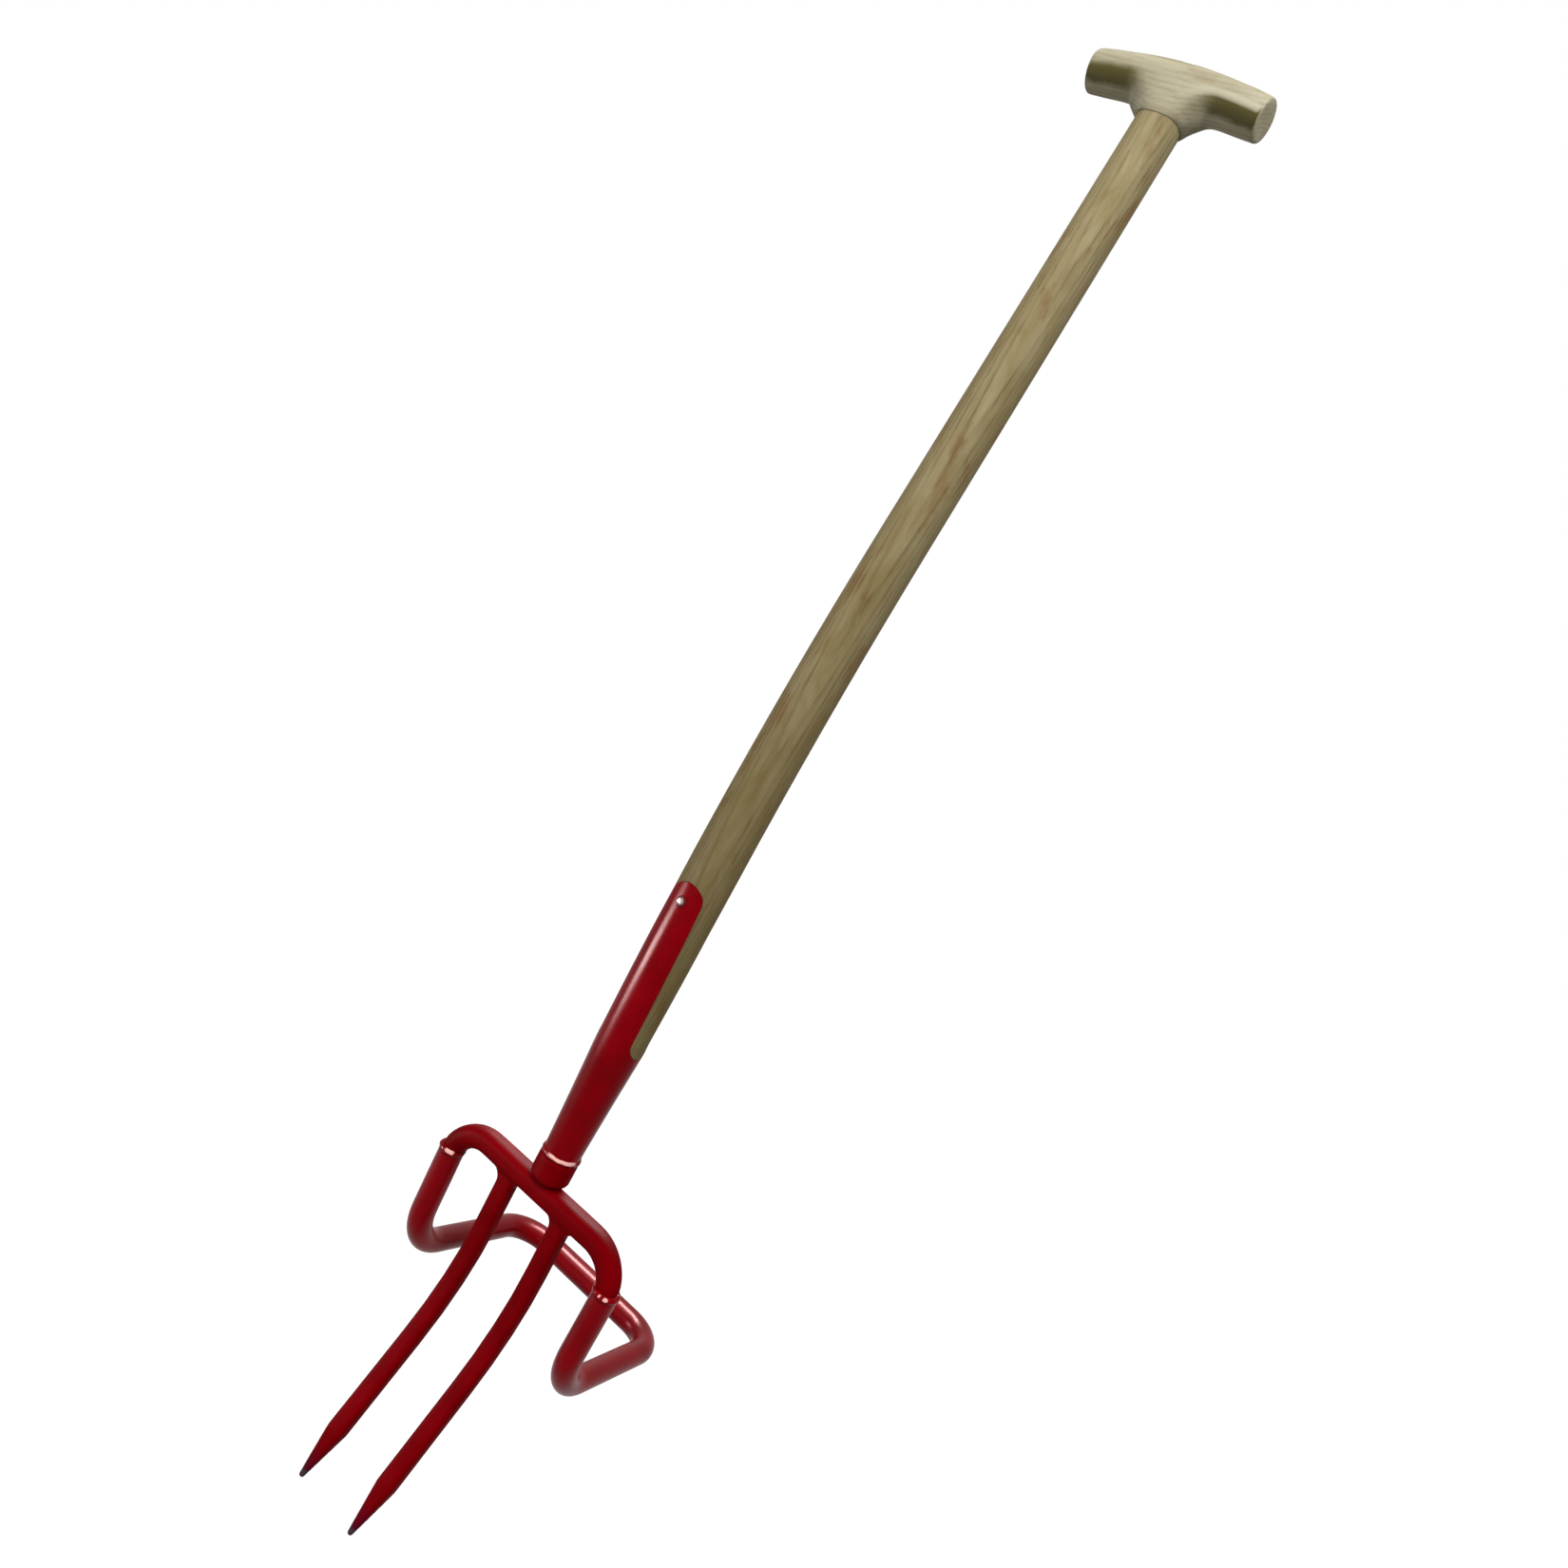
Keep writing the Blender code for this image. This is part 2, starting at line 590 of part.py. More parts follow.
def make_rivet():
    """A shank with a low domed head on each strap."""
    seat = socket_radius(RIVET_HEIGHT) + SEAT_GAP
    dome = [
        (RIVET_HEAD_RADIUS * math.cos(math.radians(a)), seat + RIVET_HEAD_HEIGHT * math.sin(math.radians(a)))
        for a in (90, 70, 50, 30, 12, 0)
    ]
    dome[0] = (0.0, dome[0][1])
    shank = [(RIVET_SHANK_RADIUS, seat), (RIVET_SHANK_RADIUS, -seat)]
    other = [(radius, -height) for radius, height in reversed(dome)]
    profile = dome + shank + other
    rivet = turned("strap_rivet", profile, material=BARE_STEEL, parent=HEAD, steps=20)
    rivet.location = (0.0, 0.0, RIVET_HEIGHT)
    rivet.rotation_euler = (math.pi / 2, 0.0, 0.0)
    return rivet


make_rivet()


def make_neck_weld():
    """The bead that runs round the joint of the socket and the fork's collar."""
    low = COLLAR_TOP_HEIGHT + SEAT_GAP
    top = low + NECK_WELD_WIDTH
    root = SOCKET_FOOT_RADIUS - SOCKET_WALL
    profile = []
    for step in range(7):
        share = step / 6
        face = SOCKET_FOOT_RADIUS + (COLLAR_RADIUS - SOCKET_FOOT_RADIUS) * share
        face += NECK_WELD_CROWN * math.sin(math.pi * share)
        profile.append((face, top + (low - top) * share))
    profile += [(root, low), (root, top)]
    return turned("neck_weld", profile, closed=True, material=WELD_PAINT, parent=HEAD, steps=48)


make_neck_weld()


def shoulder_path():
    """The crossbar with a shoulder bent down at each end, in the plane of the legs.
    The end is where the leg of the loop is welded on, before the bend is complete."""
    lean = Vector((0.0, math.tan(LEG_LEAN), -1.0)) * FOOT_DROP
    top = Vector((SHOULDER_HALF_WIDTH, 0.0, CROSSBAR_RISE))
    foot = Vector((FOOT_HALF_WIDTH, lean.y, lean.z))
    down = (foot - top).normalized()
    tangent = SHOULDER_BEND * math.tan(down.angle(Vector((1, 0, 0))) / 2)
    end = top + down * (tangent - JOINT_RISE)
    return top, foot, down, end


def mirrored(point):
    return Vector((-point.x, point.y, point.z))


def make_crossbar():
    """A loft that runs from the flat-faced middle to the round ends of the shoulders."""
    top, foot, down, end = shoulder_path()
    corners = [mirrored(foot), mirrored(top), top, foot]
    path = rounded_path(corners, [SHOULDER_BEND, SHOULDER_BEND])
    path = [point for point in path if abs(point.x) < end.x and point.z > end.z + 0.0015]
    inward = down.cross(Vector((0.0, math.cos(LEG_LEAN), math.sin(LEG_LEAN))))
    inward *= -math.copysign(1.0, inward.x)
    short = SHOULDER_BEND - math.sqrt(SHOULDER_BEND**2 - JOINT_RISE**2)
    cut = end + inward * short
    path = [mirrored(cut)] + path + [cut]
    middle = len(path) // 2
    path[middle:middle] = [Vector((x, 0.0, CROSSBAR_RISE)) for x in (-0.04, 0.0, 0.04)]
    lengths = [0.0]
    for before, after in zip(path, path[1:]):
        lengths.append(lengths[-1] + (after - before).length)
    back = Vector((0.0, math.cos(LEG_LEAN), math.sin(LEG_LEAN)))
    loft = bmesh.new()
    rings = []
    for index, point in enumerate(path):
        before = path[max(0, index - 1)]
        after = path[min(len(path) - 1, index + 1)]
        along = (after - before).normalized()
        if index == 0:
            along = -mirrored(down)
        if index == len(path) - 1:
            along = down
        outward = along.cross(back) * -1
        ends = min(lengths[index], lengths[-1] - lengths[index])
        share = max(0.0, 1 - ends / (SHOULDER_BEND * math.pi / 2))
        round_size = 2 * SHOULDER_END_RADIUS
        height = CROSSBAR_HEIGHT + (round_size - CROSSBAR_HEIGHT) * share
        depth = CROSSBAR_DEPTH + (round_size - CROSSBAR_DEPTH) * share
        corner = CROSSBAR_CORNER + (0.96 * SHOULDER_END_RADIUS - CROSSBAR_CORNER) * share
        outline = rounded_outline(depth, height, corner)
        rings.append([loft.verts.new(point + back * a + outward * b) for a, b in outline])
    for near, far in zip(rings, rings[1:]):
        for index in range(len(near)):
            after = (index + 1) % len(near)
            loft.faces.new((near[index], near[after], far[after], far[index]))
    loft.faces.new(rings[0])
    loft.faces.new(rings[-1])
    bmesh.ops.recalc_face_normals(loft, faces=loft.faces)
    mesh = bpy.data.meshes.new("fork")
    loft.to_mesh(mesh)
    loft.free()
    return mesh


def make_fork():
    fork = add_object("fork", make_crossbar(), RED_PAINT, FOOT)
    shade(fork.data)

    for side, name in ((-1, "tine_left"), (1, "tine_right")):
        boolean(fork, "UNION", make_tine(side, name))
    boolean(fork, "UNION", make_roots())
    collar = [(0, SPIGOT_HEIGHT)]
    spigot = socket_radius(SPIGOT_HEIGHT) - SOCKET_WALL - 2 * SEAT_GAP
    spigot = min(spigot, socket_radius(SOCKET_FOOT_HEIGHT) - SOCKET_WALL - SEAT_GAP)
    collar += [(spigot, SPIGOT_HEIGHT), (spigot, COLLAR_TOP_HEIGHT), (COLLAR_RADIUS, COLLAR_TOP_HEIGHT)]
    centre = (COLLAR_RADIUS - COLLAR_ROUND, COLLAR_BOTTOM_HEIGHT + COLLAR_ROUND)
    collar += arc(centre, COLLAR_ROUND, 0, -90, 4)
    core = 0.45 * CROSSBAR_DEPTH
    collar += [(core, COLLAR_BOTTOM_HEIGHT), (core, 0), (0, 0)]
    neck = turned("neck", collar, steps=ROUND_STEPS)
    neck.parent = FOOT
    neck.location = (0.0, NECK_SET_BACK, 0.0)
    neck.rotation_euler = (HEAD_LEAN, 0.0, 0.0)
    boolean(fork, "UNION", neck)
    return fork


def make_tine(side, name):
    outline = rounded_outline(TINE_DEPTH, TINE_WIDTH, TINE_CORNER)
    section = section_curve(name + "_section", outline)
    root_x = side * TINE_ROOT_SPACING / 2
    tip_x = side * TINE_TIP_SPACING / 2
    knee_y = TINE_KNEE_DROP * math.tan(LEG_LEAN)
    tip_y = knee_y - (TINE_TIP_DROP - TINE_KNEE_DROP) * math.tan(TINE_FORWARD)
    knee_x = root_x + (tip_x - root_x) * TINE_KNEE_DROP / TINE_TIP_DROP
    root = Vector((root_x, 0.0, 0.0))
    knee = Vector((knee_x, knee_y, -TINE_KNEE_DROP))
    tip = Vector((tip_x, tip_y, -TINE_TIP_DROP))
    path = rounded_path([root, knee, tip], [TINE_BEND])
    shoulder = tip + (knee - tip).normalized() * POINT_LENGTH
    path[-1:] = [shoulder, tip]
    scales = [1.0] * (len(path) - 1) + [POINT_SHARE]
    stand = Matrix.Rotation(math.pi / 2, 4, "Y")
    laid = [stand @ point for point in path]
    mesh = mesh_of(sweep(name, laid, scales, profile=section), name)
    mesh.transform(stand.inverted())
    return add_object(name, mesh, parent=FOOT)


def make_roots():
    """The webs that fillet the tines into the crossbar."""
    half = TINE_WIDTH / 2
    x = TINE_ROOT_SPACING / 2
    under = CROSSBAR_RISE - CROSSBAR_HEIGHT / 2 + 0.0003
    outer, inner = ROOT_OUTER_FILLET, ROOT_INNER_FILLET
    sink, deep = 0.001, 0.002  # the lower edge lies inside the tine
    right = arc((x - half - inner, under - inner), inner, 90, 0, 8)
    right += [(x - half + sink, under - inner - deep), (x + half - sink, under - outer - deep)]
    right += arc((x + half + outer, under - outer), outer, 180, 90, 10)
    left = [(-px, pz) for px, pz in reversed(right)]
    top = 0.3 * CROSSBAR_HEIGHT
    wide = x + half + outer
    outline = [(-wide, top)] + left + right + [(wide, top)]
    lean = Matrix.Rotation(LEG_LEAN, 4, "X")
    depth = TINE_DEPTH / 2 - 0.0004
    mesh = plate("tine_roots", outline, depth, lean @ FRONT_VIEW, TINE_CORNER)
    roots = add_object("tine_roots", mesh, parent=FOOT)
    return roots


make_fork()


def make_lever_loop():
    top, foot, down, end = shoulder_path()
    start = end + down * (LOOP_WELD_WIDTH + 2 * SEAT_GAP)
    back = Vector((BACK_HALF_WIDTH, foot.y + LOOP_REACH, foot.z))
    corners = [start, foot, back]
    corners += [mirrored(corner) for corner in reversed(corners)]
    radii = [FOOT_BEND, BACK_BEND, BACK_BEND, FOOT_BEND]
    data = sweep("lever_loop", rounded_path(corners, radii), radius=LOOP_BAR_RADIUS)
    data.materials.append(RED_PAINT)
    loop = bpy.data.objects.new("lever_loop", data)
    PIECES.objects.link(loop)
    loop.parent = FOOT
    return loop


make_lever_loop()


def make_loop_weld(name, side):
    """The filler of a butt weld between a shoulder and the loop, crowned all round."""
    top, foot, down, end = shoulder_path()
    centre = end + down * (SEAT_GAP + LOOP_WELD_WIDTH / 2)
    half = LOOP_WELD_WIDTH / 2
    profile = [(0, half)]
    for step in range(7):
        angle = math.pi * step / 6
        crown = (LOOP_WELD_CROWN + 0.0002) * math.sin(angle)
        profile.append((LOOP_BAR_RADIUS - 0.0002 + crown, half * math.cos(angle)))
    profile.append((0, -half))
    weld = turned(name, profile, material=WELD_PAINT, parent=FOOT, steps=24)
    if side < 0:
        centre, down = mirrored(centre), mirrored(down)
    weld.location = centre
    weld.rotation_mode = "QUATERNION"
    weld.rotation_quaternion = (-down).to_track_quat("Z", "Y")
    return weld


make_loop_weld("loop_weld_left", -1)
make_loop_weld("loop_weld_right", 1)
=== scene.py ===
import json
import math

import bpy
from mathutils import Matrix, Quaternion, Vector

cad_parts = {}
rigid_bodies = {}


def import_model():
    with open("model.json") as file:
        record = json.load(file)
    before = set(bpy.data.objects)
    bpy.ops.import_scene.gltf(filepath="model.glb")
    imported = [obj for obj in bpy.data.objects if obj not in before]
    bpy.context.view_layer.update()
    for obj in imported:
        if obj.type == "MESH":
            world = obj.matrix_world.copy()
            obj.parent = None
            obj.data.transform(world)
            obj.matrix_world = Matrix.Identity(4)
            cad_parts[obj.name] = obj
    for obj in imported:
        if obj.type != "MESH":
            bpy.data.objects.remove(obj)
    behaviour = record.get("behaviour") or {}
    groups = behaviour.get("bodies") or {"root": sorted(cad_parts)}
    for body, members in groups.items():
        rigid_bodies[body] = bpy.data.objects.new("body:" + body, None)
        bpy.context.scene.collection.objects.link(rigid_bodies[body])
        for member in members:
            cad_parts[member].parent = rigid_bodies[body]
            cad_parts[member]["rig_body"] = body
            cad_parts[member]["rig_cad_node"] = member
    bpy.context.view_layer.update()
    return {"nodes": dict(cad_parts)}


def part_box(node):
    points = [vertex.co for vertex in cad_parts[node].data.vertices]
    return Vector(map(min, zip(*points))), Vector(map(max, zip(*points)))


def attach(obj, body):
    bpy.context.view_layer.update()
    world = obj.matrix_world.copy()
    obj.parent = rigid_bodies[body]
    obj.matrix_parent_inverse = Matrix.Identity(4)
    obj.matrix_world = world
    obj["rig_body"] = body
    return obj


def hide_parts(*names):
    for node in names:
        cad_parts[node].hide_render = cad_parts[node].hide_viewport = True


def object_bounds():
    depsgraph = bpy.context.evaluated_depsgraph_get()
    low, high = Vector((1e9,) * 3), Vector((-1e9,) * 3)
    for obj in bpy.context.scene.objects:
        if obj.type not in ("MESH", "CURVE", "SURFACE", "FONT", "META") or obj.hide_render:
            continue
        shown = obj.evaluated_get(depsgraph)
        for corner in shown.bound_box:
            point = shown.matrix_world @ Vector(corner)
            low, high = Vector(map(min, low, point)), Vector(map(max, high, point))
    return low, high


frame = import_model()
nodes = frame["nodes"]
scene = bpy.context.scene


# The shaft is one length of ash, turned, steamed and bent back towards the head, then oiled.
# Its top is cut down to a tenon for the grip, and the straps of the socket are let into its foot.
straight_length = 0.3347
bend_length = 0.2720
bend_radius = 2.084
head_lean = math.radians(7.5)


def on_screen(red, green, blue):
    """A colour as the eye sees it on a screen, turned into the shader's own numbers."""
    parts = [value / 255 for value in (red, green, blue)]
    return (*[p / 12.92 if p <= 0.04045 else ((p + 0.055) / 1.055) ** 2.4 for p in parts], 1.0)


def pick_only(piece):
    bpy.ops.object.select_all(action="DESELECT")
    piece.select_set(True)
    bpy.context.view_layer.objects.active = piece


def workpiece_from(node, name):
    """A copy of a CAD node to finish by hand, freed from it, with its loose triangles merged."""
    pick_only(nodes[node])
    bpy.ops.object.duplicate()
    piece = bpy.context.object
    piece.name = piece.data.name = name
    piece.parent = None
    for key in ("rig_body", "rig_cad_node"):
        if key in piece:
            del piece[key]
    pick_only(piece)
    bpy.ops.object.mode_set(mode="EDIT")
    bpy.ops.mesh.select_all(action="SELECT")
    bpy.ops.mesh.remove_doubles(threshold=1e-6)
    bpy.ops.object.mode_set(mode="OBJECT")
    bpy.ops.mesh.customdata_custom_splitnormals_clear()
    bpy.ops.object.shade_smooth_by_angle(angle=math.radians(16))
    return piece


def put_on(piece, material, node):
    """The finished piece takes the CAD node's place on the tool."""
    piece.data.materials.clear()
    piece.data.materials.append(material)
    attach(piece, "root")
    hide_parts(node)


def start_material(name):
    material = bpy.data.materials.new(name)
    material.use_nodes = True
    tree = material.node_tree
    return material, tree, tree.nodes["Principled BSDF"]


def place_on(tree):
    """Where a point lies on its piece or on the floor, in metres from the object's origin."""
    return tree.nodes.new("ShaderNodeTexCoord").outputs["Object"]


def parted(tree, place):
    """A place as its three distances: to the right, to the back and up."""
    node = tree.nodes.new("ShaderNodeSeparateXYZ")
    tree.links.new(place, node.inputs[0])
    return tuple(node.outputs)


def reckon(tree, operation, first, second=0.0):
    """A Math node; each side is a socket or a number."""
    node = tree.nodes.new("ShaderNodeMath")
    node.operation = operation
    for socket, value in zip(node.inputs, (first, second)):
        if isinstance(value, (int, float)):
            socket.default_value = value
        else:
            tree.links.new(value, socket)
    return node.outputs[0]


def tint(tree, share, first, second):
    """Mixes two colours, each a socket or a colour, by a share."""
    node = tree.nodes.new("ShaderNodeMix")
    node.data_type = "RGBA"
    share_socket, first_colour, second_colour = node.inputs[0], node.inputs[6], node.inputs[7]
    for socket, value in ((share_socket, share), (first_colour, first), (second_colour, second)):
        if isinstance(value, (int, float, tuple)):
            socket.default_value = value
        else:
            tree.links.new(value, socket)
    mixed_colour = node.outputs[2]
    return mixed_colour


def ramp(tree, value, *stops):
    """A colour ramp over a value: each stop is a place and a grey or a colour."""
    node = tree.nodes.new("ShaderNodeValToRGB")
    elements = node.color_ramp.elements
    for index, (place, colour) in enumerate(stops):
        element = elements[index] if index < 2 else elements.new(place)
        element.position = place
        element.color = colour if isinstance(colour, tuple) else (colour, colour, colour, 1.0)
    tree.links.new(value, node.inputs[0])
    return node.outputs[0]


def noise(tree, place, scale, detail=2.0, roughness=0.5, distortion=0.0):
    node = tree.nodes.new("ShaderNodeTexNoise")
    tree.links.new(place, node.inputs["Vector"])
    node.inputs["Scale"].default_value = scale
    node.inputs["Detail"].default_value = detail
    node.inputs["Roughness"].default_value = roughness
    node.inputs["Distortion"].default_value = distortion
    return node.outputs["Fac"]


def mapped(tree, place, scale=(1, 1, 1), shift=(0, 0, 0), turn=(0, 0, 0)):
    node = tree.nodes.new("ShaderNodeMapping")
    tree.links.new(place, node.inputs["Vector"])
    node.inputs["Scale"].default_value = scale
    node.inputs["Location"].default_value = shift
    node.inputs["Rotation"].default_value = turn
    return node.outputs["Vector"]


def bumped(tree, shader, height, strength, distance):
    node = tree.nodes.new("ShaderNodeBump")
    node.inputs["Strength"].default_value = strength
    node.inputs["Distance"].default_value = distance
    tree.links.new(height, node.inputs["Height"])
    tree.links.new(node.outputs["Normal"], shader.inputs["Normal"])


def along_the_shaft(tree):
    """The place with the bend taken out of it, so that the grain runs with the wood."""
    right, back, up = parted(tree, place_on(tree))
    below = reckon(tree, "MAXIMUM", reckon(tree, "SUBTRACT", -straight_length, up), 0.0)
    bent = reckon(tree, "MINIMUM", below, bend_length)
    curve = reckon(tree, "DIVIDE", reckon(tree, "MULTIPLY", bent, bent), 2 * bend_radius)
    lean = reckon(tree, "MULTIPLY", reckon(tree, "SUBTRACT", below, bent), math.tan(head_lean))
    unbent = reckon(tree, "SUBTRACT", back, reckon(tree, "ADD", curve, lean))
    join = tree.nodes.new("ShaderNodeCombineXYZ")
    for socket, value in zip(join.inputs, (right, unbent, up)):
        tree.links.new(value, socket)
    return join.outputs[0]


def ash_finish(tree, shader, place, along, tones, pith, lean, figure):
    """Ash cut lengthwise: rings that run out in long arches, open pores, slow changes of tone.

    The grain runs along one axis: 0 is the arms of the grip and 2 the length of the shaft. The
    pith of the log lies beside the piece and leans across it. The figure is how strongly the
    rings, pores and brown streaks show.
    """
    light, body, dark, flame = tones

    def stretched(length):
        return tuple(length if axis == along else 1.0 for axis in range(3))

    def drawn_out(scale, length, shift, detail, roughness, distortion=0.0):
        grain = mapped(tree, place, stretched(length), shift)
        return noise(tree, grain, scale, detail, roughness, distortion)

    rings = tree.nodes.new("ShaderNodeTexWave")
    rings.wave_type = "RINGS"
    rings.wave_profile = "SAW"
    rings.rings_direction = "XYZ"[along]
    rings.inputs["Scale"].default_value = 118.0
    rings.inputs["Distortion"].default_value = 2.4
    rings.inputs["Detail"].default_value = 2.0
    rings.inputs["Detail Scale"].default_value = 0.30
    log = mapped(tree, mapped(tree, place, turn=lean), stretched(0.05), pith)
    tree.links.new(log, rings.inputs["Vector"])
    across_a_ring = (0.0, 1.0), (0.16, 0.75), (0.45, 0.14), (0.86, 0.0), (1.0, 0.35)
    early = ramp(tree, rings.outputs["Fac"], *across_a_ring)
    fibre = drawn_out(1500.0, 0.018, (0.0, 0.0, 0.0), 3.0, 0.6)
    pores = drawn_out(800.0, 0.05, (0.3, 0.1, 0.2), 2.0, 0.5)
    tone = drawn_out(90.0, 0.28, (0.1, 0.4, 0.0), 4.0, 0.6, 0.6)
    patch = drawn_out(26.0, 0.30, (0.5, 0.2, 0.7), 2.0, 0.5)
    brown = drawn_out(70.0, 0.40, (0.2, 0.9, 0.4), 3.0, 0.6)

    wood = tint(tree, ramp(tree, tone, (0.30, 0.0), (0.72, 1.0)), body, light)
    ring_depth = ramp(tree, patch, (0.34, 0.35 * figure), (0.66, figure))
    wood = tint(tree, reckon(tree, "MULTIPLY", early, ring_depth), wood, dark)
    streak_depth = ramp(tree, brown, (0.54, 0.0), (0.66, 1.6 * figure))
    wood = tint(tree, reckon(tree, "MULTIPLY", early, streak_depth), wood, flame)
    wood = tint(tree, ramp(tree, brown, (0.56, 0.0), (0.72, 1.1 * figure)), wood, flame)
    pore_depth = ramp(tree, pores, (0.50, 0.0), (0.62, 1.2 * figure))
    open_pores = reckon(tree, "MULTIPLY", early, pore_depth)
    wood = tint(tree, open_pores, wood, dark)
    wood = tint(tree, ramp(tree, fibre, (0.40, 0.0), (0.72, 0.55 * figure)), wood, dark)
    tree.links.new(wood, shader.inputs["Base Color"])
    tree.links.new(ramp(tree, fibre, (0.30, 0.55), (0.75, 0.70)), shader.inputs["Roughness"])
    shader.inputs["Specular IOR Level"].default_value = 0.03
    relief = reckon(tree, "SUBTRACT", fibre, open_pores)
    bumped(tree, shader, relief, strength=0.10, distance=0.00012)
    return wood


shaft_ash, tree, shader = start_material("oiled ash of the shaft")
place = along_the_shaft(tree)
wood = ash_finish(
    tree,
    shader,
    place,
    along=2,
    tones=(
        on_screen(172, 160, 124),
        on_screen(148, 133, 94),
        on_screen(92, 76, 46),
        on_screen(124, 80, 44),
    ),
    pith=(-0.026, 0.058, 0.0),
    lean=(0.026, 0.006, 0.0),
    figure=0.36,
)
# The wood's colour darkens slowly from just under the grip down to the straps: partly its own
# deeper tone, partly painted shade where the light falls off down the shaft.
_, _, up = parted(tree, place)
darker_downwards = ramp(tree, reckon(tree, "MULTIPLY", up, -1.25), (0.08, 0.0), (0.95, 0.60))
tree.links.new(tint(tree, darker_downwards, wood, on_screen(100, 79, 28)), shader.inputs["Base Color"])

shaft = workpiece_from("shaft", "ash_shaft")
put_on(shaft, shaft_ash, "shaft")


# The T-grip is a short arched bar of paler ash, spokeshaved and sanded, with a boss under its
# middle. It is bored from below and drops over the shaft's tenon, with the grain along the arms.
grip_ash, tree, shader = start_material("sanded ash of the grip")
place = place_on(tree)
wood = ash_finish(
    tree,
    shader,
    place,
    along=0,
    tones=(
        on_screen(186, 180, 156),
        on_screen(162, 154, 127),
        on_screen(106, 96, 56),
        on_screen(140, 110, 74),
    ),
    pith=(0.0, -0.030, 0.052),
    lean=(0.0, 0.030, 0.012),
    figure=0.20,
)


def faces(tree, direction):
    """How squarely the surface faces one way: 1 is straight at it."""
    node = tree.nodes.new("ShaderNodeVectorMath")
    node.operation = "DOT_PRODUCT"
    tree.links.new(tree.nodes.new("ShaderNodeTexCoord").outputs["Normal"], node.inputs[0])
    node.inputs[1].default_value = direction
    return node.outputs["Value"]


# Painted shade: the low front of both arms, which faces down away from the lamps, is darkened in
# the colour itself.
# Painted highlight: a pale streak runs along the front of the right arm only, lightened in the
# colour itself.
right, _, _ = parted(tree, place)
on_an_arm = ramp(tree, reckon(tree, "ABSOLUTE", right), (0.012, 0.0), (0.032, 1.0))
on_the_right = ramp(tree, reckon(tree, "ADD", right, 0.5), (0.505, 0.0), (0.52, 1.0))
uneven = reckon(tree, "MULTIPLY", noise(tree, place, 60.0, 3.0, 0.6), 0.16)
low_front = reckon(tree, "SUBTRACT", faces(tree, (0.0, -0.82, -0.57)), uneven)
# The dark band mixed in here is painted shade on the arms' low front.
painted_shade_on_arms = reckon(tree, "MULTIPLY", on_an_arm, ramp(tree, low_front, (0.76, 0.0), (0.88, 0.92)))
wood = tint(tree, painted_shade_on_arms, wood, on_screen(82, 76, 31))
uneven = reckon(tree, "MULTIPLY", uneven, 0.12)
front = reckon(tree, "SUBTRACT", faces(tree, (0.0, -0.99, -0.14)), uneven)
# The pale streak mixed in here is a painted highlight along the right arm's front.
painted_highlight_streak = reckon(tree, "MULTIPLY", ramp(tree, front, (0.964, 0.0), (0.990, 0.75)), on_the_right)
wood = tint(tree, painted_highlight_streak, wood, on_screen(208, 201, 177))
tree.links.new(wood, shader.inputs["Base Color"])

t_grip = workpiece_from("t_grip", "ash_t_grip")
put_on(t_grip, grip_ash, "t_grip")


# A thin beech wedge is driven down into the tenon's saw cut and trimmed flush with the grip.
# It is left dry, and shows its end grain on top.
wedge_beech, tree, shader = start_material("dry beech of the wedge")
place = place_on(tree)
fleck = noise(tree, mapped(tree, place, (1.0, 0.35, 0.08)), 2600.0, 3.0, 0.6)
blotch = noise(tree, place, 160.0)
flecked = ramp(tree, fleck, (0.40, 0.0), (0.68, 1.0))
beech = tint(tree, flecked, on_screen(168, 128, 86), on_screen(118, 82, 50))
beech = tint(tree, ramp(tree, blotch, (0.40, 0.0), (0.70, 0.35)), beech, on_screen(190, 156, 112))
tree.links.new(beech, shader.inputs["Base Color"])
tree.links.new(ramp(tree, fleck, (0.3, 0.55), (0.7, 0.70)), shader.inputs["Roughness"])
shader.inputs["Specular IOR Level"].default_value = 0.2
bumped(tree, shader, fleck, strength=0.3, distance=0.0002)
nodes["grip_wedge"].data.materials.clear()
nodes["grip_wedge"].data.materials.append(wedge_beech)


